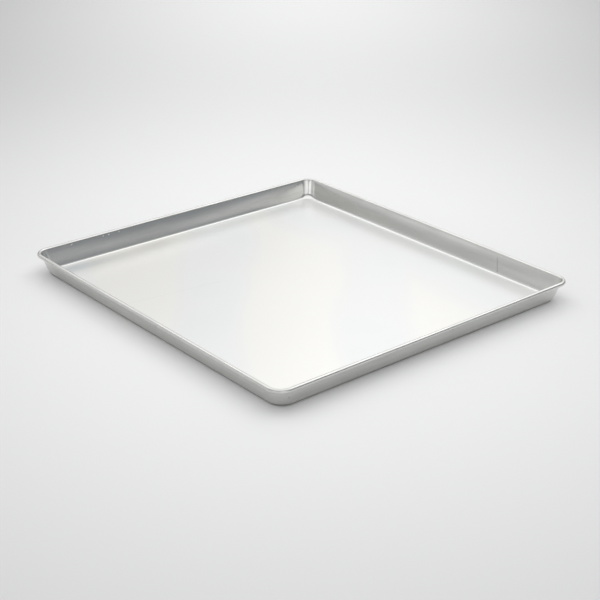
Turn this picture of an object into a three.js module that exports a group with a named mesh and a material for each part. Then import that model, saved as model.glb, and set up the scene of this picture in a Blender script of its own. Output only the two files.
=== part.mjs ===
// A shallow sheet pan: one pressed aluminium sheet whose rim is rolled over a loop of steel wire.
// Millimetres, +Z up, +X along the longer side. The origin is the centre of the underside.
import * as THREE from 'three';

// Driving dimensions
const RIM_LENGTH = 457.2; // outside of the rolled rim, along X
const RIM_WIDTH = 431.8; // outside of the rolled rim, along Y
const PAN_HEIGHT = 25.4; // underside of the floor to the top of the rim
const SHEET = 1.0; // thickness of the aluminium sheet
const WALL_FLARE = THREE.MathUtils.degToRad(16); // lean of the straight walls from vertical
const BEND_RADIUS = 2.5; // inside radius of the bend between floor and wall
const CORNER_RADIUS = 13.0; // plan radius of the drawn corners, in the middle of the sheet
const CORNER_EASE = 5.0; // height below the bead in which a corner starts to follow the bead
const CORNER_FOOT = 7.0; // how much wider a corner's radius is at the foot, where the sheet is drawn in
const FOOT_REACH = 7.5; // height up to which a corner is widened
const WIRE_DIAMETER = 2.4;
const WIRE_CLEARANCE = 0.3; // between the wire and the sheet that is rolled over it
const WIRE_JOINT = 1.0; // between the two ends of the wire
const CURL_GAP = 0.4; // between the rolled edge and the outside of the wall

// How finely the round stretches are faceted
const CORNER_STEPS = 10;
const BEND_STEPS = 5;
const FOOT_STEPS = 3;
const EASE_STEPS = 3;
const CURL_STEP = THREE.MathUtils.degToRad(18);
const WIRE_SIDES = 12;

// The section through a straight wall, along the middle of the sheet.
// u runs outward from the edge of the flat floor and z upward.
const sine = Math.sin(WALL_FLARE);
const cosine = Math.cos(WALL_FLARE);
const bendRadius = BEND_RADIUS + SHEET / 2;
const bendCentreZ = SHEET + BEND_RADIUS;
const curlRadius = WIRE_DIAMETER / 2 + WIRE_CLEARANCE + SHEET / 2;
const beadRadius = curlRadius + SHEET / 2;
const curlZ = PAN_HEIGHT - beadRadius;
const wallFoot = { u: bendRadius * cosine, z: bendCentreZ - bendRadius * sine };
const wallTopZ = curlZ + curlRadius * sine;
const wallRise = wallTopZ - wallFoot.z;
const wallTopU = wallFoot.u + wallRise * Math.tan(WALL_FLARE);
const curlU = wallTopU + curlRadius * cosine;
const rimU = curlU + beadRadius;

// The flat floor, from which every station of the sweep is measured
const floorHalfLength = RIM_LENGTH / 2 - rimU;
const floorHalfWidth = RIM_WIDTH / 2 - rimU;

// A corner is widest at the foot and then keeps one plan radius up the wall. In the ease below the bead
// it widens again, until at the bead it runs parallel to it, so that the wire keeps a round section.
const easeHeight = Math.min(CORNER_EASE, wallRise);
const easeFootZ = wallTopZ - easeHeight;
const easeWidth = easeHeight * Math.tan(WALL_FLARE);
const curlCornerRadius = CORNER_RADIUS + easeWidth / 2 + curlRadius * cosine;

/** One place on the section: its position, its normal to the pan's outside and its corner in plan. */
function sectionPoint(u, z, normalU, normalZ) {
  const eased = THREE.MathUtils.clamp((z - easeFootZ) / easeHeight, 0, 1);
  const low = THREE.MathUtils.clamp(1 - z / FOOT_REACH, 0, 1);
  const cornerRadius = CORNER_RADIUS + (eased * eased * easeWidth) / 2 + low * low * CORNER_FOOT;
  const narrowing = ((2 * low * CORNER_FOOT) / FOOT_REACH) * (normalU / -normalZ);
  return { u, z, normalU, normalZ, parallel: eased - narrowing, cornerRadius };
}

/** The bend from the edge of the flat floor up to the foot of the wall. */
function bendPoints() {
  const points = [];
  for (let step = 0; step <= BEND_STEPS; step += 1) {
    const angle = THREE.MathUtils.lerp(Math.PI / 2, WALL_FLARE, step / BEND_STEPS);
    const outward = Math.cos(angle);
    const downward = Math.sin(angle);
    points.push(sectionPoint(bendRadius * outward, bendCentreZ - bendRadius * downward, outward, -downward));
  }
  return points;
}

/** A place on the straight wall. */
function wallPoint(z) {
  return sectionPoint(wallTopU - (wallTopZ - z) * Math.tan(WALL_FLARE), z, cosine, -sine);
}

/** The straight wall above its foot, with steps where the corners widen at the foot and at the bead. */
function wallPoints() {
  const heights = [];
  for (let step = 1; step <= FOOT_STEPS; step += 1) {
    heights.push(THREE.MathUtils.lerp(wallFoot.z, FOOT_REACH, step / FOOT_STEPS));
  }
  for (let step = 0; step <= EASE_STEPS; step += 1) {
    heights.push(easeFootZ + (easeHeight * step) / EASE_STEPS);
  }
  const rising = heights.filter((z) => z > wallFoot.z && z <= wallTopZ).sort((low, high) => low - high);
  return rising.filter((z, index) => index === 0 || z - rising[index - 1] > 0.01).map(wallPoint);
}

/** The angles of the curl after the wall, over the top, round the outside and back under the bead. */
function curlAngles() {
  const edgeReach = Math.acos((curlRadius - SHEET / 2 - CURL_GAP) / beadRadius);
  const start = Math.PI - WALL_FLARE;
  const end = start - (2 * Math.PI - edgeReach);
  const turns = [start, Math.PI / 2, 0, -Math.PI / 2, end];
  const angles = [];
  for (let turn = 1; turn < turns.length; turn += 1) {
    const from = turns[turn - 1];
    const steps = Math.ceil((from - turns[turn]) / CURL_STEP);
    for (let step = 1; step <= steps; step += 1) {
      angles.push(THREE.MathUtils.lerp(from, turns[turn], step / steps));
    }
  }
  return angles;
}

/** The rolled rim. Its corners run parallel to the wire. */
function curlPoints() {
  return curlAngles().map((angle) => {
    const outward = Math.cos(angle);
    const upward = Math.sin(angle);
    return {
      u: curlU + curlRadius * outward,
      z: curlZ + curlRadius * upward,
      normalU: -outward,
      normalZ: -upward,
      parallel: 1,
      cornerRadius: curlCornerRadius + curlRadius * outward,
    };
  });
}

/** The steps round one drawn corner, from one straight side to the next. */
function cornerStations(quarter) {
  const stations = [];
  const middle = (quarter + 0.5) * (Math.PI / 2);
  for (let step = 0; step <= CORNER_STEPS; step += 1) {
    const angle = (quarter + step / CORNER_STEPS) * (Math.PI / 2);
    stations.push({
      x: Math.cos(angle),
      y: Math.sin(angle),
      signX: Math.sign(Math.cos(middle)),
      signY: Math.sign(Math.sin(middle)),
    });
  }
  return stations;
}

/** A place on a station, offset from the middle of the sheet along its true normal. */
function sheetVertex(station, point, offset) {
  const { x, y, signX, signY } = station;
  const radius = point.cornerRadius;
  const place = new THREE.Vector3(
    signX * (floorHalfLength + point.u - radius) + radius * x,
    signY * (floorHalfWidth + point.u - radius) + radius * y,
    point.z,
  );
  const spread = THREE.MathUtils.lerp(Math.abs(x) + Math.abs(y), 1, point.parallel);
  const normal = new THREE.Vector3(point.normalU * x, point.normalU * y, point.normalZ * spread);
  return place.addScaledVector(normal.normalize(), offset);
}

/** Two triangles for each step between two neighbouring rings of a sweep. */
function stripTriangles(first, second, steps, count) {
  const triangles = [];
  for (let step = 0; step < steps; step += 1) {
    const next = (step + 1) % count;
    triangles.push(first + step, second + step, second + next);
    triangles.push(first + step, second + next, first + next);
  }
  return triangles;
}

function geometryFrom(vertices, triangles) {
  const geometry = new THREE.BufferGeometry().setFromPoints(vertices);
  geometry.setIndex(triangles);
  geometry.computeVertexNormals();
  return geometry;
}

/** The pressed sheet: floor, bend, walls, corners and rolled rim in one piece. */
function panBodyGeometry() {
  const section = [...bendPoints(), ...wallPoints(), ...curlPoints()];
  const stations = [0, 1, 2, 3].flatMap(cornerStations);
  const ringSize = 2 * section.length;
  const vertices = stations.flatMap((station) => [
    ...section.map((point) => sheetVertex(station, point, SHEET / 2)),
    ...section.map((point) => sheetVertex(station, point, -SHEET / 2)).reverse(),
  ]);
  const underside = vertices.push(new THREE.Vector3(0, 0, 0)) - 1;
  const topside = vertices.push(new THREE.Vector3(0, 0, SHEET)) - 1;
  const triangles = [];
  stations.forEach((_, index) => {
    const first = index * ringSize;
    const second = ((index + 1) % stations.length) * ringSize;
    triangles.push(...stripTriangles(first, second, ringSize - 1, ringSize));
    triangles.push(underside, second, first);
    triangles.push(topside, first + ringSize - 1, second + ringSize - 1);
  });
  return geometryFrom(vertices, triangles);
}

/** One ring of the wire about a centre, in the plane of an outward direction and Z. */
function wireRing(centreX, centreY, x, y) {
  const ring = [];
  for (let side = 0; side < WIRE_SIDES; side += 1) {
    const angle = (2 * Math.PI * side) / WIRE_SIDES;
    const out = (WIRE_DIAMETER / 2) * Math.cos(angle);
    const up = (WIRE_DIAMETER / 2) * Math.sin(angle);
    ring.push(new THREE.Vector3(centreX + out * x, centreY + out * y, curlZ + up));
  }
  return ring;
}

/** The loop of wire in the curl, butted in the middle of the +Y side. */
function rimWireGeometry() {
  const sideY = floorHalfWidth + curlU;
  const bends = [1, 2, 3, 0].flatMap(cornerStations).map(({ x, y, signX, signY }) => wireRing(
    signX * (floorHalfLength + curlU - curlCornerRadius) + curlCornerRadius * x,
    signY * (floorHalfWidth + curlU - curlCornerRadius) + curlCornerRadius * y,
    x,
    y,
  ));
  const rings = [wireRing(-WIRE_JOINT / 2, sideY, 0, 1), ...bends, wireRing(WIRE_JOINT / 2, sideY, 0, 1)];
  const triangles = [];
  for (let ring = 1; ring < rings.length; ring += 1) {
    const first = (ring - 1) * WIRE_SIDES;
    triangles.push(...stripTriangles(first, first + WIRE_SIDES, WIRE_SIDES, WIRE_SIDES));
  }
  const last = (rings.length - 1) * WIRE_SIDES;
  for (let side = 1; side < WIRE_SIDES - 1; side += 1) {
    triangles.push(0, side, side + 1);
    triangles.push(last, last + side + 1, last + side);
  }
  return geometryFrom(rings.flat(), triangles);
}

function namedMesh(name, geometry, look) {
  const mesh = new THREE.Mesh(geometry, new THREE.MeshStandardMaterial(look));
  mesh.name = name;
  return mesh;
}

const pan = new THREE.Group();
pan.add(namedMesh('pan_body', panBodyGeometry(), { color: 0xd2d3d1, roughness: 0.32, metalness: 1 }));
pan.add(namedMesh('rim_wire', rimWireGeometry(), { color: 0xa3a4a5, roughness: 0.4, metalness: 1 }));

export default pan;
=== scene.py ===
# %% [markdown]
# # A sheet pan in a plain studio
#
# This lesson dresses one object: a shallow baking pan, pressed from a single aluminium sheet, with its rim
# rolled over a loop of steel wire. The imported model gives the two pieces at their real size, with flat
# facets. Here they become smooth sheet metal with a real finish, on a pale floor, under soft light.
#
# Every object is in metres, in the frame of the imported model: X along the longer side, Z up, and the origin
# in the middle of the underside.

# %% Load the frame
from math import acos, atan, ceil, cos, degrees, pi, radians, sin, tan

import bpy
import numpy as np
from mathutils import Euler, Matrix, Vector


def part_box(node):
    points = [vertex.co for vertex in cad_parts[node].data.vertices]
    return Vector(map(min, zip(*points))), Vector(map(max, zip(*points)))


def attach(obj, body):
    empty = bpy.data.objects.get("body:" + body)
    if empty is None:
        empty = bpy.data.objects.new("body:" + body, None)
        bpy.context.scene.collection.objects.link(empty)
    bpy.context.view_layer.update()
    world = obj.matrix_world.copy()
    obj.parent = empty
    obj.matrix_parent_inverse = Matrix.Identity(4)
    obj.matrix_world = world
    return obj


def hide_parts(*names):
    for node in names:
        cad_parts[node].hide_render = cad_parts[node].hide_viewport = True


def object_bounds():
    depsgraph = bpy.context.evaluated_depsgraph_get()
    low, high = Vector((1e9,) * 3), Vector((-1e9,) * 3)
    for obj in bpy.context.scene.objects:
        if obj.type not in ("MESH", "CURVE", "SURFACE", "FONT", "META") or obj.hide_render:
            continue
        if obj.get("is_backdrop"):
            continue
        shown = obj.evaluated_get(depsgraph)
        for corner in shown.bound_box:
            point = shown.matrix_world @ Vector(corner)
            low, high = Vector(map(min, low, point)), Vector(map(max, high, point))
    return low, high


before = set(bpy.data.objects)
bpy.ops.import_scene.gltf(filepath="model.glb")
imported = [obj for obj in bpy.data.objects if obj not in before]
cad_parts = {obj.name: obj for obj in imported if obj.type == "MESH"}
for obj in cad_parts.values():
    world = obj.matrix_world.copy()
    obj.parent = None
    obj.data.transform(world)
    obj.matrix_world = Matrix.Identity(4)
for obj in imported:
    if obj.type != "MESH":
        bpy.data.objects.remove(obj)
cad_low, cad_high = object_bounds()
print("nodes:", sorted(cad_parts))
print("packed size in mm:", [round(1000 * side, 1) for side in cad_high - cad_low])

# %% [markdown]
# ## The section of the sheet
#
# Cut a straight wall across and the sheet shows one line: the flat floor, a tight bend, a wall that leans
# outward and a curl that goes once round the wire. The whole pan is this line carried round a rounded
# rectangle. A curve with a bevel could carry it, but here the corners change their radius with height, so
# the points are worked out one by one, along the middle of the sheet.
#
# A pressed wall springs back a little when it leaves the die, so it isn't quite straight: it is steepest
# two fifths of the way up and leans more at the foot and at the rim. That slight bow is what makes its
# reflection change from top to bottom.

# %% Slope of the wall
LEAST_SLOPE = 0.274
FOOT_BOW = 0.075
RIM_BOW = 0.060
STEEPEST_AT = 0.40


def wall_slope(share):
    """How far out the wall goes for each step up, at a share of its rise."""
    below = max(0, 1 - share / STEEPEST_AT)
    above = max(0, (share - STEEPEST_AT) / (1 - STEEPEST_AT))
    return LEAST_SLOPE + FOOT_BOW * below**2 + RIM_BOW * above**2


lean_at_foot = atan(wall_slope(0))
lean_at_rim = atan(wall_slope(1))
print("lean at foot and rim in degrees:", round(degrees(lean_at_foot), 1), round(degrees(lean_at_rim), 1))

# %% [markdown]
# ## Where bend, wall and curl meet
#
# The outside size comes from the frame, and so does the thickness of the wire. The maker's own sizes are the
# sheet, the bend and the room round the wire. The rest follows: the curl has to clear the wire, the wall has
# to meet the curl, and what is left over in the middle is the flat floor.

# %% Sizes of the section
SHEET = 0.0010
BEND_RADIUS = 0.0021
WIRE_CLEARANCE = 0.0003

rim_length, rim_width, pan_height = cad_high - cad_low
wire_low, wire_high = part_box("rim_wire")
wire_radius = (wire_high.z - wire_low.z) / 2
bend_radius = BEND_RADIUS + SHEET / 2
curl_radius = wire_radius + WIRE_CLEARANCE + SHEET / 2
bead_radius = curl_radius + SHEET / 2
curl_z = pan_height - bead_radius
foot_u = bend_radius * cos(lean_at_foot)
foot_z = SHEET + BEND_RADIUS - bend_radius * sin(lean_at_foot)
wall_rise = curl_z + curl_radius * sin(lean_at_rim) - foot_z


def wall_u(share):
    """How far out the wall is: its slope, summed up from the foot."""
    below = max(0, 1 - share / STEEPEST_AT)
    above = max(0, (share - STEEPEST_AT) / (1 - STEEPEST_AT))
    bow = FOOT_BOW * STEEPEST_AT * (1 - below**3) / 3 + RIM_BOW * (1 - STEEPEST_AT) * above**3 / 3
    return foot_u + wall_rise * (LEAST_SLOPE * share + bow)


curl_u = wall_u(1) + curl_radius * cos(lean_at_rim)
floor_half_x = rim_length / 2 - curl_u - bead_radius
floor_half_y = rim_width / 2 - curl_u - bead_radius
print("bead in mm:", round(2000 * bead_radius, 2))
print("flat floor in mm:", round(2000 * floor_half_x, 1), round(2000 * floor_half_y, 1))

# %% [markdown]
# ## Points along the section
#
# The points lie dense where the sheet turns, because metal shows every facet. Each row holds u, the distance
# out from the flat floor, then z, then the two parts of the outward normal, then the radius of the corner in
# plan.
#
# The last number says how far the corner runs parallel with the bead. A drawn corner is widest at its foot,
# where the sheet is pulled in, and keeps one radius up the wall. A curl has to stay round, so in the last few
# millimetres the corner eases into the radius of the bead.

# %% Section points
BEND_STEPS = 12
WALL_STEPS = 20
CURL_STEP = radians(7.5)
CURL_GAP = 0.0004
CORNER_RADIUS = 0.0130
CORNER_EASE = 0.0050
CORNER_FOOT = 0.0070
FOOT_REACH = 0.0075
ease_width = CORNER_EASE * tan(lean_at_rim)
curl_corner = CORNER_RADIUS + ease_width / 2 + curl_radius * cos(lean_at_rim)


def sheet_row(u, z, lean):
    """One point of the bend or the wall."""
    eased = max(0, 1 - (foot_z + wall_rise - z) / CORNER_EASE)
    low = max(0, 1 - z / FOOT_REACH)
    corner = CORNER_RADIUS + eased**2 * ease_width / 2 + low**2 * CORNER_FOOT
    parallel = eased - 2 * low * CORNER_FOOT / FOOT_REACH / tan(lean)
    return u, z, cos(lean), -sin(lean), corner, parallel


def bend_rows():
    for lean in np.linspace(pi / 2, lean_at_foot, BEND_STEPS + 1):
        yield sheet_row(bend_radius * cos(lean), SHEET + BEND_RADIUS - bend_radius * sin(lean), lean)


def wall_rows():
    for share in np.linspace(0, 1, WALL_STEPS + 1)[1:]:
        yield sheet_row(wall_u(share), foot_z + wall_rise * share, atan(wall_slope(share)))


def curl_rows():
    """The curl, from the wall over the top and round to its cut edge."""
    edge_reach = acos((curl_radius - SHEET / 2 - CURL_GAP) / bead_radius)
    start = pi - lean_at_rim
    sweep = 2 * pi - edge_reach
    for angle in np.linspace(start, start - sweep, ceil(sweep / CURL_STEP) + 1)[1:]:
        out, up = cos(angle), sin(angle)
        u, z = curl_u + curl_radius * out, curl_z + curl_radius * up
        yield u, z, -out, -up, curl_corner + curl_radius * out, 1


section = np.array([*bend_rows(), *wall_rows(), *curl_rows()])
print("section points:", len(section))

# %% [markdown]
# ## Stations round the pan
#
# A station is a place on the way round. It has a direction that it faces in plan, and a place along each
# axis from -1 to 1. On a side the direction stays and the place moves. At a corner the place stays and the
# direction turns.
#
# Two small faults of real sheet metal are kept with the stations. Long walls stand out by a fraction of a
# millimetre in the middle, most at the rim and not evenly. In the corners, where the sheet is gathered into
# less room, the draw leaves upright ridges. Both are too small to measure in a photograph, but they are what
# breaks up the reflections.

# %% Stations
SIDE_STEPS = 40
CORNER_STEPS = 36
SIDE_SWAY = 0.0006
SWAY_MEAN = 0.8
SWAY_SWING = 0.4
SWAY_PHASE = (1.1, 2.4, 1.6, 4.2)
DRAW_RIDGE = 0.00007
RIDGES = 5


def side_station(quarter, face, along, place):
    sway = SWAY_MEAN + SWAY_SWING * sin(pi * place + SWAY_PHASE[quarter])
    return *face, *(face + along * place), SIDE_SWAY * (1 - place**2) * sway, 0


def corner_station(face, along, turn):
    direction = face * cos(turn) + along * sin(turn)
    ridge = sin(2 * turn) ** 2 * cos(4 * RIDGES * (turn - pi / 4))
    return *direction, *(face + along), 0, DRAW_RIDGE * ridge


def quarter_stations(quarter):
    """One straight side and the corner after it."""
    face = np.round([cos(quarter * pi / 2), sin(quarter * pi / 2)])
    along = np.array([-face[1], face[0]])
    side = [side_station(quarter, face, along, place) for place in np.linspace(-1, 1, SIDE_STEPS + 1)]
    turns = np.linspace(0, pi / 2, CORNER_STEPS + 1)[1:-1]
    return side + [corner_station(face, along, turn) for turn in turns]


stations = np.array([row for quarter in range(4) for row in quarter_stations(quarter)])
face_x, face_y, place_x, place_y, sway, ridge = stations.T
print("stations:", len(stations), "largest sway in mm:", round(1000 * sway.max(), 2))

# %% [markdown]
# ## Sweep the sheet
#
# The two skins of the sheet lie half a thickness to either side of its middle. A Solidify modifier could make
# them, but its offset is only roughly even in tight bends, so each skin is placed along the true normals. In
# a drawn corner the wall leans more than in the section, so the normal is corrected there first.

# %% Sweep
def give_of(z):
    """How far each station stands out at a height: the sway of its side and the ridges of its corner."""
    on_wall = np.clip((z - foot_z) / wall_rise, 0, 1)
    return sway * (z / pan_height) ** 3 + ridge * 4 * on_wall * (1 - on_wall)


def skin_ring(row, offset):
    """One loop of the sheet: a section point on every station."""
    u, z, normal_u, normal_z, corner, parallel = row
    give = give_of(z)
    spread = (abs(face_x) + abs(face_y)) * (1 - parallel) + parallel
    normals = np.stack([normal_u * face_x, normal_u * face_y, normal_z * spread], -1)
    normals /= np.linalg.norm(normals, axis=-1, keepdims=True)
    x = place_x * (floor_half_x + u - corner) + (corner + give) * face_x
    y = place_y * (floor_half_y + u - corner) + (corner + give) * face_y
    return np.stack([x, y, np.full_like(x, z)], -1) + offset * normals


outside = [skin_ring(row, SHEET / 2) for row in section]
inside = [skin_ring(row, -SHEET / 2) for row in section]
print("loops on each skin:", len(outside))

# %% [markdown]
# ## The floor
#
# The flat floor has a plain grid in the middle, strips along the sides and fans in the corners, so that its
# edge shares the stations of the walls. A thin sheet is never quite flat after pressing. It stands a fraction
# of a millimetre proud in long shallow waves. A bump map could paint them, but a mirror shows the difference
# at a low angle, so they are modelled.

# %% Floor
FAN_STEPS = 4
WAVE_HEIGHT = 0.00007
RIPPLES = ((21, 9, 0.6), (13, -26, 2.1), (35, 17, 4.0))
floor_corner = section[0][4]


def floor_waves(x, y):
    """Rise of the floor over flat: nothing at its edge, and never below it."""
    window = np.clip((1 - (x / floor_half_x) ** 2) * (1 - (y / floor_half_y) ** 2), 0, 1)
    ripple = sum(np.sin(along_x * x + along_y * y + phase) for along_x, along_y, phase in RIPPLES)
    return WAVE_HEIGHT * window * (len(RIPPLES) + ripple)


def fan_ring(step, height):
    """A loop of the floor between its edge, at step 0, and the grid."""
    radius = floor_corner * (1 - step / FAN_STEPS)
    x = place_x * (floor_half_x - floor_corner) + radius * face_x
    y = place_y * (floor_half_y - floor_corner) + radius * face_y
    return np.stack([x, y, height + floor_waves(x, y)], -1)


def floor_grid(height):
    places = np.linspace(-1, 1, SIDE_STEPS + 1)
    x, y = np.meshgrid(places, places, indexing="ij")
    x, y = x * (floor_half_x - floor_corner), y * (floor_half_y - floor_corner)
    return np.stack([x, y, height + floor_waves(x, y)], -1).reshape(-1, 3)


under_fan = [fan_ring(step, 0) for step in range(FAN_STEPS - 1, 0, -1)]
upper_fan = [fan_ring(step, SHEET) for step in range(1, FAN_STEPS)]
print("highest wave in mm:", round(1000 * floor_grid(0)[:, 2].max(), 3))

# %% [markdown]
# ## Faces between the loops
#
# Put in order, the loops make one closed skin: from the middle of the underside out to the edge, up the
# outside, round the curl to its cut edge, back along the inside and over the floor to the middle again.
# Neighbouring loops are joined by quads, and a grid closes the hole at either end.

# %% Faces
loops = [*under_fan, *outside, *reversed(inside), *upper_fan]
loop_size = len(stations)
grid_size = SIDE_STEPS + 1


def grid_edge(first):
    """The vertices of a grid that the stations meet, in the order of the stations."""
    column = np.round((place_x + 1) / 2 * SIDE_STEPS).astype(int)
    row = np.round((place_y + 1) / 2 * SIDE_STEPS).astype(int)
    return (first + column * grid_size + row).tolist()


def quads_between(first, second):
    """Quads from loop to loop, or triangles where neighbours share a vertex."""
    for here, there in zip(range(loop_size), [*range(1, loop_size), 0]):
        yield tuple(dict.fromkeys((first[here], first[there], second[there], second[here])))


def grid_quads(first, upward):
    for column in range(SIDE_STEPS):
        for row in range(SIDE_STEPS):
            corner = first + column * grid_size + row
            quad = (corner, corner + grid_size, corner + grid_size + 1, corner + 1)
            yield quad if upward else quad[::-1]


print("loops:", len(loops), "of", loop_size, "vertices")

# %% [markdown]
# ## The pressed pan
#
# On the real pan the floor, the walls and the rim are one sheet, so they are one mesh here, with no seam to
# show. It takes the place of the imported piece, which is hidden, and rides on the root body.

# %% Pressed pan
def pan_mesh():
    vertices = np.concatenate([*loops, floor_grid(0), floor_grid(SHEET)])
    under_grid = len(loops) * loop_size
    upper_grid = under_grid + grid_size**2
    rings = [list(range(start, start + loop_size)) for start in range(0, under_grid, loop_size)]
    rings = [grid_edge(under_grid), *rings, grid_edge(upper_grid)]
    faces = [face for pair in zip(rings, rings[1:]) for face in quads_between(*pair)]
    faces += grid_quads(under_grid, False)
    faces += grid_quads(upper_grid, True)
    return vertices.tolist(), faces


def new_piece(name, vertices, faces):
    mesh = bpy.data.meshes.new(name)
    mesh.from_pydata(vertices, [], faces)
    mesh.validate()
    mesh.shade_smooth()
    piece = bpy.data.objects.new(name, mesh)
    bpy.context.scene.collection.objects.link(piece)
    return piece


pan = new_piece("pressed_pan", *pan_mesh())
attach(pan, "root")
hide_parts("pan_body")
print("pan faces:", len(pan.data.polygons))

# %% [markdown]
# ## The wire in the rim
#
# The curl is rolled over a loop of steel wire that keeps the rim straight. It shows only as a glint through
# the slit under the bead. A bevelled curve would do for it, but it has to follow the sway of the sheet, so it
# is made on the same stations: a round section, with its two ends butted in the middle of one side.

# %% Rim wire
WIRE_SIDES = 20
WIRE_JOINT = 0.0010


def wire_centres():
    """The path of the wire from one butted end to the other."""
    give = give_of(curl_z)
    x = place_x * (floor_half_x + curl_u - curl_corner) + (curl_corner + give) * face_x
    y = place_y * (floor_half_y + curl_u - curl_corner) + (curl_corner + give) * face_y
    path = np.stack([x, y, np.full_like(x, curl_z), face_x, face_y], -1)
    joint = SIDE_STEPS + CORNER_STEPS + SIDE_STEPS // 2
    path = np.roll(path, -joint, axis=0)
    path = np.vstack([path, path[:1]])
    path[0, 0] -= WIRE_JOINT / 2
    path[-1, 0] += WIRE_JOINT / 2
    return path


def wire_mesh():
    turns = np.arange(WIRE_SIDES) * 2 * pi / WIRE_SIDES
    vertices = []
    for x, y, z, out_x, out_y in wire_centres():
        out, up = wire_radius * np.cos(turns), wire_radius * np.sin(turns)
        vertices.extend(np.stack([x + out * out_x, y + out * out_y, z + up], -1).tolist())
    count = len(vertices)
    faces = [tuple(range(WIRE_SIDES)), tuple(range(count - 1, count - WIRE_SIDES - 1, -1))]
    for start in range(0, count - WIRE_SIDES, WIRE_SIDES):
        for side in range(WIRE_SIDES):
            here, there = start + side, start + (side + 1) % WIRE_SIDES
            faces.append((here, here + WIRE_SIDES, there + WIRE_SIDES, there))
    return vertices, faces


wire = new_piece("stiffening_wire", *wire_mesh())
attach(wire, "root")
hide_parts("rim_wire")
print("wire faces:", len(wire.data.polygons))

# %% [markdown]
# ## Helpers for finishes
#
# A finish is a small network of nodes. It could be wired by hand in the shader editor, but a script repeats
# the same few steps, so they get short names: put a node, feed a socket, reckon with two numbers, and go
# softly from one level to another.

# %% Node helpers
def put(tree, kind, **settings):
    made = tree.nodes.new(kind)
    for name, value in settings.items():
        setattr(made, name, value)
    return made


def feed(tree, socket, value):
    """Link an output to a socket, or set a plain value on it."""
    if isinstance(value, bpy.types.NodeSocket):
        tree.links.new(value, socket)
    else:
        socket.default_value = value


def calculate(tree, operation, first, second=0.0):
    """One step of arithmetic. An operation on one number leaves the second out."""
    made = put(tree, "ShaderNodeMath", operation=operation)
    feed(tree, made.inputs[0], first)
    feed(tree, made.inputs[1], second)
    return made.outputs["Value"]


def smooth_step(tree, value, low, high, start, end):
    """Goes softly from start to end as the value goes from low to high."""
    made = put(tree, "ShaderNodeMapRange", interpolation_type="SMOOTHSTEP")
    inputs = {"Value": value, "From Min": low, "From Max": high, "To Min": start, "To Max": end}
    for name, number in inputs.items():
        feed(tree, made.inputs[name], number)
    return made.outputs["Result"]


print("node helpers:", [helper.__name__ for helper in (put, feed, calculate, smooth_step)])

# %% [markdown]
# Three more helpers make what a finish is built from: soft patches that can be stretched along an axis, a
# blend of two colours, and a new material with its main shader.

# %% Finish helpers
def patches(tree, place, fineness, detail=2.0, turn=0.0):
    """Soft noise with its own fineness along X, Y and Z, turned about Z."""
    mapping = put(tree, "ShaderNodeMapping", vector_type="TEXTURE")
    mapping.inputs["Scale"].default_value = [1 / number for number in fineness]
    mapping.inputs["Rotation"].default_value = (0, 0, turn)
    feed(tree, mapping.inputs["Vector"], place)
    noise = put(tree, "ShaderNodeTexNoise")
    noise.inputs["Scale"].default_value = 1.0
    noise.inputs["Detail"].default_value = detail
    feed(tree, noise.inputs["Vector"], mapping.outputs["Vector"])
    return noise.outputs["Fac"]


def blend(tree, share, first, second, way="MIX"):
    made = put(tree, "ShaderNodeMix", data_type="RGBA", blend_type=way)
    colour_inputs = [socket for socket in made.inputs if socket.type == "RGBA"]
    feed(tree, made.inputs["Factor"], share)
    feed(tree, colour_inputs[0], first)
    feed(tree, colour_inputs[1], second)
    return next(socket for socket in made.outputs if socket.type == "RGBA")


def new_finish(name):
    finish = bpy.data.materials.new(name)
    finish.use_nodes = True
    return finish, finish.node_tree, finish.node_tree.nodes["Principled BSDF"]


print("finish helpers:", [helper.__name__ for helper in (patches, blend, new_finish)])

# %% [markdown]
# ## Aluminium: where things are
#
# The pan is bare metal. Its colour is nearly all reflection, so the work goes into roughness and into small
# changes of tone. Image textures could carry them, but a pressed sheet has no seams to unwrap along. Every
# pattern is read from the place on the object instead, and stays where it is on the pan.
#
# First come masks, from 0 to 1: the flat floor, the walls that the die has worked, the top of the rim that
# gets scuffed, and the faces that look down, which are the outside.

# %% Aluminium places
aluminium, metal, shader = new_finish("satin_aluminium")
coordinates = put(metal, "ShaderNodeTexCoord")
place = coordinates.outputs["Object"]
split = put(metal, "ShaderNodeSeparateXYZ")
feed(metal, split.inputs["Vector"], place)
facing = put(metal, "ShaderNodeSeparateXYZ")
feed(metal, facing.inputs["Vector"], coordinates.outputs["Normal"])


def rising(value, low, high):
    """0 up to low, 1 from high, and soft between."""
    return smooth_step(metal, value, low, high, 0.0, 1.0)


def falling(value, low, high):
    """1 up to low, 0 from high, and soft between."""
    return smooth_step(metal, value, low, high, 1.0, 0.0)


def overlap(first, second):
    return calculate(metal, "MULTIPLY", first, second)


def either(first, second):
    return calculate(metal, "MAXIMUM", first, second)


flat = falling(split.outputs["Z"], 0.0015, 0.0026)
worked = rising(split.outputs["Z"], 0.0020, 0.0040)
scuffed = rising(split.outputs["Z"], 0.0215, 0.0245)
outside_face = falling(facing.outputs["Z"], -0.1, 0.1)
print("aluminium nodes for masks:", len(metal.nodes))

# %% [markdown]
# ## Aluminium: the floor
#
# Wide soft bands lie across the floor, along the direction of view, and one along the rear wall. They are
# duller than the bare metal between them, as cloth wipes leave it, and a touch cooler and darker, which is
# painted reflection: of upright edges of the backdrop across the floor, and of the rear wall along it. In
# places a thin film makes them cooler still. A wave texture, bent a little, gives bands that are wide and
# even without looking ruled.

# %% Aluminium floor
BARE_METAL = (0.768, 0.763, 0.738, 1)
# The cooler, darker tone of the bands is partly painted reflection; they run along the direction of view.
WIPED_AND_REFLECTED_METAL = (0.750, 0.752, 0.750, 1)
COOL_METAL = (0.740, 0.754, 0.754, 1)
BAND_DIRECTION = radians(51)
BAND_SPACING = 0.185
# Blender's wave texture repeats after this length at a scale of 1.
WAVE_LENGTH = 2 * pi / 20


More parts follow.
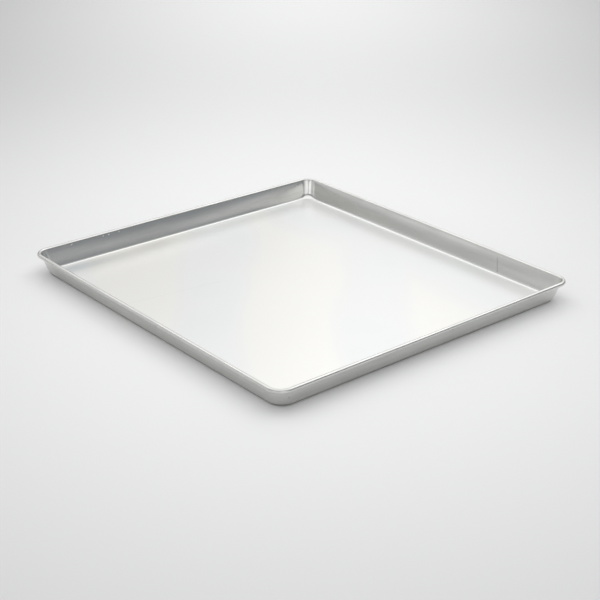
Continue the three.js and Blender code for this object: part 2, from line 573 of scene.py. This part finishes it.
def reflection_and_wipe_bands():
    mapping = put(metal, "ShaderNodeMapping", vector_type="TEXTURE")
    mapping.inputs["Rotation"].default_value = (0, 0, BAND_DIRECTION)
    feed(metal, mapping.inputs["Vector"], place)
    wave = put(metal, "ShaderNodeTexWave")
    feed(metal, wave.inputs["Vector"], mapping.outputs["Vector"])
    wave.inputs["Scale"].default_value = WAVE_LENGTH / BAND_SPACING
    wave.inputs["Distortion"].default_value = 1.2
    wave.inputs["Detail Scale"].default_value = 2.0
    wave.inputs["Phase Offset"].default_value = 0.1
    across_floor = rising(wave.outputs["Fac"], 0.35, 0.9)
    along_rear = rising(split.outputs["Y"], 0.07, 0.16)
    return overlap(either(across_floor, along_rear), flat)


# Painted reflection, with the duller roughness of wipes: bands along the view and along the rear wall.
wiped_and_reflected = reflection_and_wipe_bands()
film = rising(patches(metal, place, (6, 6, 6)), 0.42, 0.62)
floor_tone = blend(metal, wiped_and_reflected, BARE_METAL, blend(metal, film, WIPED_AND_REFLECTED_METAL, COOL_METAL))
print("aluminium nodes with the floor:", len(metal.nodes))

# %% [markdown]
# ## Aluminium: walls, rim and foot
#
# The die burnishes the walls, so they are glossier than the floor, and it leaves level streaks on them. Over
# those lie faint clouds from handling. Just above the ground, where the wall bends into the floor, a thin
# dark line of painted shade stands for the shadowed gap under the foot. Noise that is fine along Z and
# coarse along X and Y gives the streaks.

# %% Aluminium walls
WORKED_SHADE = (0.955, 0.961, 0.968, 1)
STREAK_SHADE = (0.880, 0.886, 0.894, 1)

die_streaks = rising(patches(metal, place, (7, 7, 120), 3), 0.34, 0.66)
wall_shade = blend(metal, die_streaks, WORKED_SHADE, STREAK_SHADE)
clouds = overlap(rising(patches(metal, place, (22, 22, 45), 5), 0.44, 0.66), worked)
# Painted shade: a dark line on the outside of the foot bend, where the pan stands on the floor.
above_ground = rising(split.outputs["Z"], 0.0001, 0.0006)
below_wall = falling(split.outputs["Z"], 0.0012, 0.0036)
painted_foot_shadow = overlap(overlap(above_ground, below_wall), outside_face)
print("aluminium nodes with the walls:", len(metal.nodes))

# %% [markdown]
# ## Aluminium: marks of use and a painted reflection
#
# A used pan has a few marks of its own: a knife line on the floor, a scratch down the rear wall, a stain on a
# corner and a row of nicks under the rim. By one edge of the floor a cool dark band is painted reflection of
# the side wall. Each is a soft line between two places. It could be drawn in an image, but a distance to a
# line is sharp at any size of picture.

# %% Mark helper
SHARP_CORE = 0.2


def mark(start, end, width):
    """A soft line on the metal between two places, full over the core of its width."""
    start, end = Vector(start), Vector(end)
    span = end - start
    from_start = put(metal, "ShaderNodeVectorMath", operation="SUBTRACT")
    feed(metal, from_start.inputs[0], place)
    from_start.inputs[1].default_value = start
    share = put(metal, "ShaderNodeVectorMath", operation="DOT_PRODUCT")
    feed(metal, share.inputs[0], from_start.outputs["Vector"])
    share.inputs[1].default_value = span / span.length_squared
    along = calculate(metal, "MINIMUM", either(share.outputs["Value"], 0.0), 1.0)
    nearest = put(metal, "ShaderNodeVectorMath", operation="SCALE")
    nearest.inputs[0].default_value = span
    feed(metal, nearest.inputs["Scale"], along)
    apart = put(metal, "ShaderNodeVectorMath", operation="DISTANCE")
    feed(metal, apart.inputs[0], from_start.outputs["Vector"])
    feed(metal, apart.inputs[1], nearest.outputs["Vector"])
    return falling(apart.outputs["Value"], width * SHARP_CORE, width)


def rear_wall(x, z):
    """A place on the inside of the rear wall, on +Y."""
    return x, floor_half_y + wall_u((z - foot_z) / wall_rise) - SHEET / 2, z


def side_wall(y, z):
    """A place on the inside of the side wall, on -X."""
    return SHEET / 2 - floor_half_x - wall_u((z - foot_z) / wall_rise), y, z


print("rear wall at mid height in mm:", [round(1000 * value, 1) for value in rear_wall(0, pan_height / 2)])

# %% [markdown]
# The knife line is faint, so only a tenth of it counts. The painted reflection fades out along the wall.
# The nicks are small bright cuts, each a little askew, where something hard has caught the side.

# %% Marks of use and a painted reflection
FAINT = 0.10
NICKED_AT = (-0.1650, -0.1208, -0.1124, -0.0978)
NICK_LENGTH = 0.0014

knife_line = mark((-0.0786, -0.1871, SHEET), (-0.0619, -0.0636, SHEET), 0.0016)
wall_scratch = mark(rear_wall(0.1210, 0.0189), rear_wall(0.1263, 0.0038), 0.0009)
stain = mark((0.2205, -0.1961, 0.0116), (0.2208, -0.1958, 0.0119), 0.0017)
marks = either(either(overlap(knife_line, FAINT), wall_scratch), stain)
# Painted reflection: a cool dark band on the floor beside the -X wall, mirroring that wall.
painted_wall_reflection = mark((-0.2020, -0.1950, SHEET), (-0.2020, -0.0800, SHEET), 0.0135)
painted_wall_reflection = overlap(painted_wall_reflection, falling(split.outputs["Y"], -0.170, -0.085))
nicks = 0.0
for y in NICKED_AT:
    nick = mark(side_wall(y, 0.0219), side_wall(y + NICK_LENGTH, 0.0227), 0.0007)
    nicks = either(nicks, nick)
print("aluminium nodes with the marks:", len(metal.nodes))

# %% [markdown]
# ## Aluminium: colour
#
# The tones are laid over each other in order: the die, the scuffs, the clouds, the painted shade at the
# foot, the painted reflection by one edge of the floor and the marks each darken what lies under them.
# Multiplying keeps the tone below visible, which mixing would cover. Only the nicks are mixed in, because
# fresh metal shows there.

# %% Aluminium colour
SCUFFED_SHADE = (0.880, 0.880, 0.875, 1)
CLOUD_SHADE = (0.965, 0.965, 0.962, 1)
# Painted shadow along the foot, where the pan stands on the floor.
FOOT_SHADOW_SHADE = (0.54, 0.53, 0.51, 1)
# Painted reflection of the side wall in the floor.
WALL_REFLECTION_SHADE = (0.880, 0.910, 0.938, 1)
MARK_SHADE = (0.72, 0.72, 0.73, 1)
NICK_METAL = (0.95, 0.95, 0.94, 1)

layers = [
    (worked, wall_shade),
    (scuffed, SCUFFED_SHADE),
    (clouds, CLOUD_SHADE),
    (painted_foot_shadow, FOOT_SHADOW_SHADE),
    (painted_wall_reflection, WALL_REFLECTION_SHADE),
    (marks, MARK_SHADE),
]
tone = floor_tone
for share, layer_shade in layers:
    tone = blend(metal, share, tone, layer_shade, "MULTIPLY")
feed(metal, shader.inputs["Base Color"], blend(metal, nicks, tone, NICK_METAL))
shader.inputs["Metallic"].default_value = 1.0
print("layers of tone:", len(layers))

# %% [markdown]
# ## Aluminium: roughness and grain
#
# Roughness decides how sharp the room shows in the metal. The floor is satin, the burnished walls are a good
# deal sharper, and scuffs, clouds, nicks and hairlines dull them again. Rolling leaves a fine grain along the
# sheet. It is far too fine to model, so it is the one thing here that is left to bump.

# %% Aluminium roughness
BARE_ROUGHNESS = 0.32
WIPED_ROUGHNESS = 0.35
HAIRLINE_TURNS = (0.5, 1.3, 2.6)
GRAIN_DEPTH = 0.0000006


def hairlines(turn):
    """Fine scratches on the floor, all in one direction."""
    return overlap(rising(patches(metal, place, (14, 1300, 14), 1, turn), 0.72, 0.80), flat)


scratches = 0.0
for turn in HAIRLINE_TURNS:
    scratches = either(scratches, hairlines(turn))
roughness = smooth_step(metal, wiped_and_reflected, 0.0, 1.0, BARE_ROUGHNESS, WIPED_ROUGHNESS)
for share, change in ((scratches, 0.10), (worked, -0.14), (scuffed, 0.08), (clouds, 0.05), (nicks, 0.36)):
    roughness = calculate(metal, "ADD", roughness, overlap(share, change))
feed(metal, shader.inputs["Roughness"], roughness)

grain = patches(metal, place, (60, 1500, 60))
bump = put(metal, "ShaderNodeBump")
bump.inputs["Strength"].default_value = 1.0
bump.inputs["Distance"].default_value = GRAIN_DEPTH
feed(metal, bump.inputs["Height"], overlap(grain, flat))
feed(metal, shader.inputs["Normal"], bump.outputs["Normal"])
pan.data.materials.append(aluminium)
print("aluminium nodes:", len(metal.nodes))

# %% [markdown]
# ## Drawn steel wire
#
# Wire is pulled through a die, which leaves fine lines and a dull grey shine. Only a sliver is ever seen, so
# a little noise in colour and roughness is enough.

# %% Wire finish
DARK_STEEL = (0.56, 0.56, 0.57, 1)
PALE_STEEL = (0.70, 0.70, 0.71, 1)

steel, drawn, steel_shader = new_finish("drawn_steel")
steel_place = put(drawn, "ShaderNodeTexCoord").outputs["Object"]
lines = patches(drawn, steel_place, (300, 300, 1800))
feed(drawn, steel_shader.inputs["Base Color"], blend(drawn, lines, DARK_STEEL, PALE_STEEL))
feed(drawn, steel_shader.inputs["Roughness"], smooth_step(drawn, lines, 0.3, 0.7, 0.28, 0.42))
steel_shader.inputs["Metallic"].default_value = 1.0
wire.data.materials.append(steel)
print("steel nodes:", len(drawn.nodes))

# %% [markdown]
# ## The camera
#
# The photograph was taken from above the front corner. The place, the angles and the lens were worked out
# from the straight lines of the floor and the rim, whose real directions are known. Matching by eye would
# also do, but then a change of the model would look like a change of the camera.

# %% Camera
CAMERA_PLACE = Vector((1.0858, -0.9239, 0.6245))
CAMERA_AZIMUTH = radians(49.43)
CAMERA_ELEVATION = radians(24.29)
CAMERA_ROLL = radians(0.67)
LENS_PIXELS = 1338.5
FRAME_PIXELS = 600
SENSOR_MM = 36

lens = bpy.data.cameras.new("camera")
lens.sensor_width = SENSOR_MM
lens.lens = SENSOR_MM * LENS_PIXELS / FRAME_PIXELS
camera = bpy.data.objects.new("camera", lens)
aim = Euler((pi / 2 - CAMERA_ELEVATION, 0, CAMERA_AZIMUTH)).to_matrix()
aim = aim @ Matrix.Rotation(CAMERA_ROLL, 3, "Z")
camera.matrix_world = Matrix.Translation(CAMERA_PLACE) @ aim.to_4x4()
bpy.context.scene.collection.objects.link(camera)
bpy.context.scene.camera = camera
view_away = Vector((-sin(CAMERA_AZIMUTH), cos(CAMERA_AZIMUTH), 0))
view_right = Vector((cos(CAMERA_AZIMUTH), sin(CAMERA_AZIMUTH), 0))
print("lens in mm:", round(lens.lens, 1))

# %% [markdown]
# ## The studio floor
#
# A wide sheet of pale paper lies under the pan and reaches far past the camera's view, so that no edge shows.
# It is marked as part of the stage, because it isn't part of the object.

# %% Studio floor
FLOOR_REACH = 30.0

floor_corners = [(x * FLOOR_REACH, y * FLOOR_REACH, 0) for x, y in ((-1, -1), (1, -1), (1, 1), (-1, 1))]
ground = new_piece("studio_floor", floor_corners, [(0, 1, 2, 3)])
ground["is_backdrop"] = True
print("studio floor in m:", [round(side) for side in ground.dimensions])

# %% [markdown]
# ## Pale paper
#
# The paper carries a painted pool of light. It is palest round the pan and falls off to the sides, towards
# the camera and a little to the rear, as paper does under one soft lamp, and is pale again outside the
# picture. The falls could come from the light, but then they would show in the metal too, so they are painted
# into the tone of the paper, read along and across the direction of view.

# %% Paper
PAPER_SHIFT = 0.02
PAPER_MIDDLE = 0.900
PAPER_SIDE = 0.375
SIDE_RECOVERY = 2.1
FALLS_ALONG_VIEW = (
    (-1.6, -0.65, 2.6, 1.0),
    (-1.6, 0.0, 0.30, 1.0),
    (0.2, 0.9, 1.0, 0.89),
    (0.9, 1.6, 1.0, 1.07),
)

paper, sheet_of_paper, paper_shader = new_finish("pale_paper")
turned = put(sheet_of_paper, "ShaderNodeMapping", vector_type="TEXTURE")
turned.inputs["Rotation"].default_value = (0, 0, CAMERA_AZIMUTH)
turned.inputs["Location"].default_value = view_right * PAPER_SHIFT
feed(sheet_of_paper, turned.inputs["Vector"], put(sheet_of_paper, "ShaderNodeTexCoord").outputs["Object"])
paper_place = put(sheet_of_paper, "ShaderNodeSeparateXYZ")
feed(sheet_of_paper, paper_place.inputs["Vector"], turned.outputs["Vector"])
from_middle = calculate(sheet_of_paper, "ABSOLUTE", paper_place.outputs["X"])
# Painted pool of light: the paper's tone falls off away from the pan.
shade = smooth_step(sheet_of_paper, from_middle, 0.0, 1.2, PAPER_MIDDLE, PAPER_SIDE)
far_off = smooth_step(sheet_of_paper, from_middle, 0.7, 1.3, 1.0, SIDE_RECOVERY)
shade = calculate(sheet_of_paper, "MULTIPLY", shade, far_off)
for low, high, start, end in FALLS_ALONG_VIEW:
    fall = smooth_step(sheet_of_paper, paper_place.outputs["Y"], low, high, start, end)
    shade = calculate(sheet_of_paper, "MULTIPLY", shade, fall)
feed(sheet_of_paper, paper_shader.inputs["Base Color"], shade)
paper_shader.inputs["Roughness"].default_value = 0.9
paper_shader.inputs["Specular IOR Level"].default_value = 0.1
ground.data.materials.append(paper)
print("paper nodes:", len(sheet_of_paper.nodes))

# %% [markdown]
# ## Studio light
#
# Metal shows the room around it, so the room is the light. Area lamps would show as hard shapes in the metal,
# so the room is written into the world, as soft zones by direction. A zone reads how far a ray points to some
# direction, from -1 to 1. Between two such numbers it goes softly from one level of light to another, and
# where two zones are multiplied, one shades the other.

# %% Room helpers
UP = Vector((0, 0, 1))

world = bpy.data.worlds.new("studio")
bpy.context.scene.world = world
world.use_nodes = True
sky = world.node_tree
sky_direction = put(sky, "ShaderNodeTexCoord").outputs["Generated"]


def toward(*steps):
    """How far a ray points to a direction, from -1 to 1. The steps are (vector, amount) pairs."""
    axis = sum((vector * amount for vector, amount in steps), Vector()).normalized()
    made = put(sky, "ShaderNodeVectorMath", operation="DOT_PRODUCT")
    feed(sky, made.inputs[0], sky_direction)
    made.inputs[1].default_value = axis
    return made.outputs["Value"]


def zone(value, low, high, start, end):
    return smooth_step(sky, value, low, high, start, end)


def both(first, second):
    return calculate(sky, "MULTIPLY", first, second)


height = toward((UP, 1))
away = toward((view_away, 1))
across = toward((view_right, 1))
print("direction to the rear:", [round(value, 3) for value in view_away])

# %% [markdown]
# ### The box overhead
#
# A wide soft box hangs over the pan and leans to the rear. It is just bright enough that the metal stays off
# pure white when it is seen from above. Its far right is the brightest. Near the camera on the right, and
# low down on both sides, it is dimmed, which leaves the dark line along the rolled rim.

# %% Overhead box
BOX_LEVEL = 1.12
LEAN_TO_REAR = 0.28

soft_box = zone(toward((UP, 1), (view_away, LEAN_TO_REAR)), 0.46, 0.68, 0.0, BOX_LEVEL)
soft_box = both(soft_box, zone(across, 0.25, 0.75, 1.0, 1.34))
soft_box = both(soft_box, zone(across, -0.75, -0.25, 1.04, 1.0))
low_down = zone(height, 0.5, 0.72, 1.0, 0.0)
near_right = both(zone(across, 0.3, 0.7, 0.0, 1.0), zone(away, -0.16, 0.06, 1.0, 0.0))
low_right = both(zone(across, 0.4, 0.7, 0.0, 1.0), low_down)
low_left = both(zone(across, -0.5, -0.08, 1.0, 0.0), low_down)
for dimmed, level in ((near_right, 0.4), (low_right, 0.25), (low_left, 0.4)):
    soft_box = both(soft_box, zone(dimmed, 0.0, 1.0, 1.0, level))
print("sky nodes with the box:", len(sky.nodes))

# %% [markdown]
# ### Backdrop and walls
#
# The floor of the pan is seen at a low angle, so it mirrors the backdrop behind it. That is brightest half
# way up, dim on the left and a little dimmer on the right, which gives the floor its slow change of tone.
# The walls of the pan mirror the sides of the room: grey on the left, dim near the camera, and dark on the
# right with a paler strip near the floor.

# %% Backdrop and walls
backdrop = zone(toward((view_away, 1), (view_right, 0.2)), 0.5, 0.9, 0.0, 1.0)
backdrop = both(backdrop, zone(height, 0.25, 0.5, 0.80, 1.62))
backdrop = both(backdrop, zone(height, 0.52, 0.72, 1.0, 0.7))
backdrop = both(backdrop, zone(across, -0.21, 0.06, 0.15, 1.0))
backdrop = both(backdrop, zone(across, -0.02, 0.3, 1.0, 0.66))
left_wall = both(zone(across, -0.9, -0.1, 1.0, 0.22), zone(height, 0.06, 0.18, 0.52, 0.80))
left_wall = both(left_wall, zone(away, -0.12, 0.0, 0.76, 1.0))
left_wall = both(left_wall, zone(height, 0.35, 0.6, 1.0, 0.5))
near_room = both(zone(away, -0.95, -0.5, 0.66, 0.16), zone(height, 0.45, 0.7, 1.0, 0.5))
near_room = both(near_room, zone(across, -0.1, 0.2, 0.85, 1.72))
right_side = both(zone(across, 0.2, 0.9, 0.3, 0.90), zone(height, 0.09, 0.16, 0.75, 0.29))
right_side = both(right_side, zone(away, -0.33, -0.17, 0.64, 1.12))
right_side = both(right_side, zone(away, -0.08, 0.15, 1.0, 0.45))
right_side = both(right_side, zone(height, 0.24, 0.4, 1.0, 0.6))
print("sky nodes with the walls:", len(sky.nodes))

# %% [markdown]
# ### Lamps
#
# Small lamps make the sparkle that a wide box can't: two beside the camera for the walls, and two above the
# rear corners for the bends and the bead.

# %% Lamps
BESIDE_CAMERA = (0.955, 0.99)
ABOVE_REAR = (0.93, 0.98)


def lamp(away_by, right_by, up_by, edge, level):
    """A round soft spot of light in one direction."""
    return zone(toward((view_away, away_by), (view_right, right_by), (UP, up_by)), *edge, 0.0, level)


left_lamp = lamp(-0.85, -0.5, 0.42, BESIDE_CAMERA, 1.1)
right_lamp = lamp(-0.85, 0.5, 0.42, BESIDE_CAMERA, 0.5)
rear_left = lamp(0.5, -0.45, 0.74, ABOVE_REAR, 1.6)
rear_right = lamp(0.5, 0.45, 0.74, ABOVE_REAR, 1.75)
print("sky nodes with the lamps:", len(sky.nodes))

# %% [markdown]
# ### The whole room
#
# Where zones meet, the brighter one counts. The dim parts of the room are a little cooler than the bright
# ones, as daylight in a corner is, and one number sets the level of the whole room.

# %% The whole room
ROOM_LEVEL = 1.13
WHITE_LIGHT = (1, 1, 1, 1)
DIM_LIGHT = (0.91, 0.985, 1.06, 1)

room = [backdrop, left_wall, near_room, right_side, left_lamp, right_lamp, rear_left, rear_right]
light = soft_box
for part_of_room in room:
    light = calculate(sky, "MAXIMUM", light, part_of_room)
feed(sky, sky.nodes["Background"].inputs["Strength"], both(light, ROOM_LEVEL))
tint = blend(sky, zone(light, 0.1, 0.58, 0.0, 1.0), DIM_LIGHT, WHITE_LIGHT)
feed(sky, sky.nodes["Background"].inputs["Color"], tint)
print("zones in the room:", 1 + len(room))

# %% [markdown]
# ## Finish
#
# The picture is shown as it is, without a film look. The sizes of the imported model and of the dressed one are
# kept side by side, to see that only the sway of the walls has been added.

# %% Finish
bpy.context.scene.view_settings.view_transform = "Standard"
low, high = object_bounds()
print("visual size in mm:", [round(1000 * side, 1) for side in high - low])
